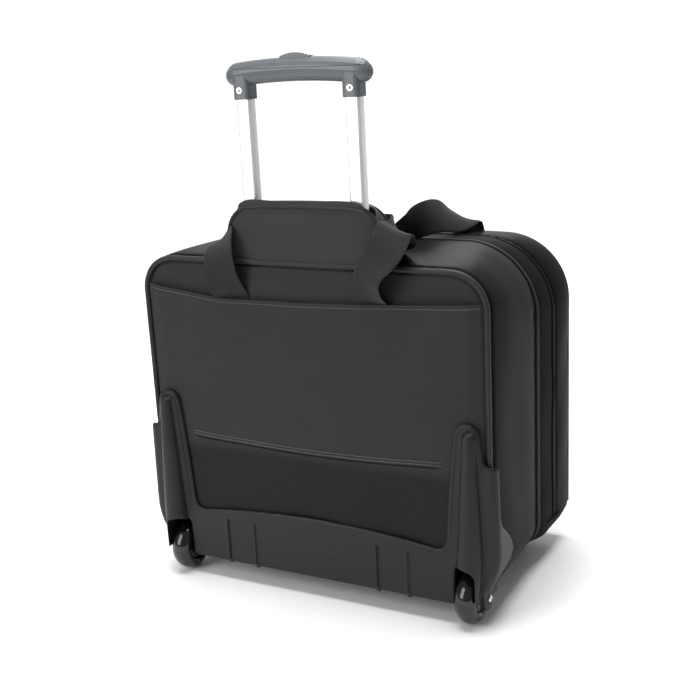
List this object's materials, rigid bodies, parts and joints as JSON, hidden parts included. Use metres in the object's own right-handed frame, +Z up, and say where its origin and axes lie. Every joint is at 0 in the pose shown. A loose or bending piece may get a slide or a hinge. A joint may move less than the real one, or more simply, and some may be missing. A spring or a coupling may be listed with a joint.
{
  "type": "rolling laptop case",
  "caption": "Soft-sided upright laptop case on two rear wheels, with a telescopic pull handle housed in a top pouch, webbing carry handles and a zipped front section.",
  "frame": {"origin": "on the floor, in the middle of the width and of the whole depth, wheels to front pocket", "axes": "+Z up along the pull handle, +X towards the right side seen from the wheel side, +Y from the wheels towards the front pocket"},
  "size_m": [0.433, 0.2922, 0.603],
  "materials": {
    "body_fabric": "fine twisted-nylon weave, matt black with a faint sheen",
    "piping": "smooth coated tape sewn over a cord",
    "zip_tape": "twill tape with a moulded coil",
    "lining": "plain woven lining over foam",
    "webbing": "ribbed flat webbing, matt",
    "base_plastic": "finely textured moulded shell",
    "grip_plastic": "satin moulding",
    "tube_aluminium": "bright anodised, drawn lengthwise",
    "polished_steel": "bright plated",
    "zip_metal": "black plated",
    "wheel_tread": "glossy cast polyurethane",
    "wheel_hub": "moulded, slightly glossy"
  },
  "bodies": {
    "case": {"main_gusset": "body_fabric", "rear_panel": "body_fabric", "rear_piping": "piping", "rear_pocket": "body_fabric", "expansion_band": "body_fabric", "front_lower_tray": "body_fabric", "trolley_lining": "lining", "laptop_divider": "lining", "handle_garage": "body_fabric", "zip_tape_case": "zip_tape", "rear_carry_handle": "webbing", "wheel_base": "base_plastic", "axle_left": "polished_steel", "axle_right": "polished_steel", "front_foot_left": "base_plastic", "front_foot_right": "base_plastic", "outer_tube_left": "tube_aluminium", "outer_tube_right": "tube_aluminium", "tube_collar_left": "base_plastic", "tube_collar_right": "base_plastic"},
    "middle_stage": {"middle_tube_left": "tube_aluminium", "middle_tube_right": "tube_aluminium", "middle_collar_left": "base_plastic", "middle_collar_right": "base_plastic"},
    "handle_stage": {"inner_tube_left": "tube_aluminium", "inner_tube_right": "tube_aluminium", "tube_plug_left": "base_plastic", "tube_plug_right": "base_plastic", "grip_lower_shell": "grip_plastic", "grip_upper_shell": "grip_plastic", "grip_rivet_left": "polished_steel", "grip_rivet_right": "polished_steel"},
    "release": {"release_button": "grip_plastic", "release_yoke": "base_plastic", "push_rod_left": "polished_steel", "push_rod_right": "polished_steel"},
    "pin_left": {"lock_pin_left": "polished_steel"},
    "pin_right": {"lock_pin_right": "polished_steel"},
    "wheel_left": {"wheel_tyre_left": "wheel_tread", "wheel_hub_left": "wheel_hub", "wheel_bearing_left": "polished_steel"},
    "wheel_right": {"wheel_tyre_right": "wheel_tread", "wheel_hub_right": "wheel_hub", "wheel_bearing_right": "polished_steel"},
    "front_lid": {"lid_gusset": "body_fabric", "lid_front_panel": "body_fabric", "lid_piping": "piping", "front_pocket": "body_fabric", "zip_tape_lid": "zip_tape"},
    "front_handle": {"front_carry_handle": "webbing"},
    "slider_left": {"zip_slider_left": "zip_metal"},
    "slider_right": {"zip_slider_right": "zip_metal"},
    "pull_left": {"zip_pull_left": "zip_metal"},
    "pull_right": {"zip_pull_right": "zip_metal"}
  },
  "joints": [
    {"name": "middle_slide", "type": "slide", "parent": "case", "child": "middle_stage", "axis": [0, 0, 1], "range_m": [0, 0.28]},
    {"name": "handle_slide", "type": "slide", "parent": "middle_stage", "child": "handle_stage", "axis": [0, 0, 1], "range_m": [-0.16, 0.115]},
    {"name": "button_press", "type": "slide", "parent": "handle_stage", "child": "release", "axis": [0, 0, -1], "range_m": [0, 0.004], "stiffness_N_per_m": 600, "springref_m": -0.003},
    {"name": "pin_left_slide", "type": "slide", "parent": "handle_stage", "child": "pin_left", "axis": [1, 0, 0], "range_m": [0, 0.002]},
    {"name": "pin_right_slide", "type": "slide", "parent": "handle_stage", "child": "pin_right", "axis": [-1, 0, 0], "range_m": [0, 0.002]},
    {"name": "wheel_left_spin", "type": "hinge", "parent": "case", "child": "wheel_left", "pos_m": [-0.182, -0.109, 0.03], "axis": [1, 0, 0], "continuous": true},
    {"name": "wheel_right_spin", "type": "hinge", "parent": "case", "child": "wheel_right", "pos_m": [0.182, -0.109, 0.03], "axis": [1, 0, 0], "continuous": true},
    {"name": "lid_fold", "type": "hinge", "parent": "case", "child": "front_lid", "pos_m": [0, 0.137, 0.0698], "axis": [-1, 0, 0], "range_deg": [0, 90]},
    {"name": "front_handle_lift", "type": "hinge", "parent": "front_lid", "child": "front_handle", "pos_m": [0, 0.123, 0.388], "axis": [-1, 0, 0], "range_deg": [0, 100]},
    {"name": "slider_left_run", "type": "slide", "parent": "case", "child": "slider_left", "axis": [1, 0, 0], "range_m": [-0.05, 0.012]},
    {"name": "slider_right_run", "type": "slide", "parent": "case", "child": "slider_right", "axis": [1, 0, 0], "range_m": [-0.012, 0.05]},
    {"name": "pull_left_swing", "type": "hinge", "parent": "slider_left", "child": "pull_left", "pos_m": [-0.02, 0.0902, 0.3926], "axis": [1, 0, 0], "range_deg": [0, 150]},
    {"name": "pull_right_swing", "type": "hinge", "parent": "slider_right", "child": "pull_right", "pos_m": [0.02, 0.0902, 0.3926], "axis": [1, 0, 0], "range_deg": [0, 150]}
  ],
  "couplings": [
    {"joint": "pin_left_slide", "follows": "button_press", "ratio": 0.5},
    {"joint": "pin_right_slide", "follows": "button_press", "ratio": 0.5}
  ]
}
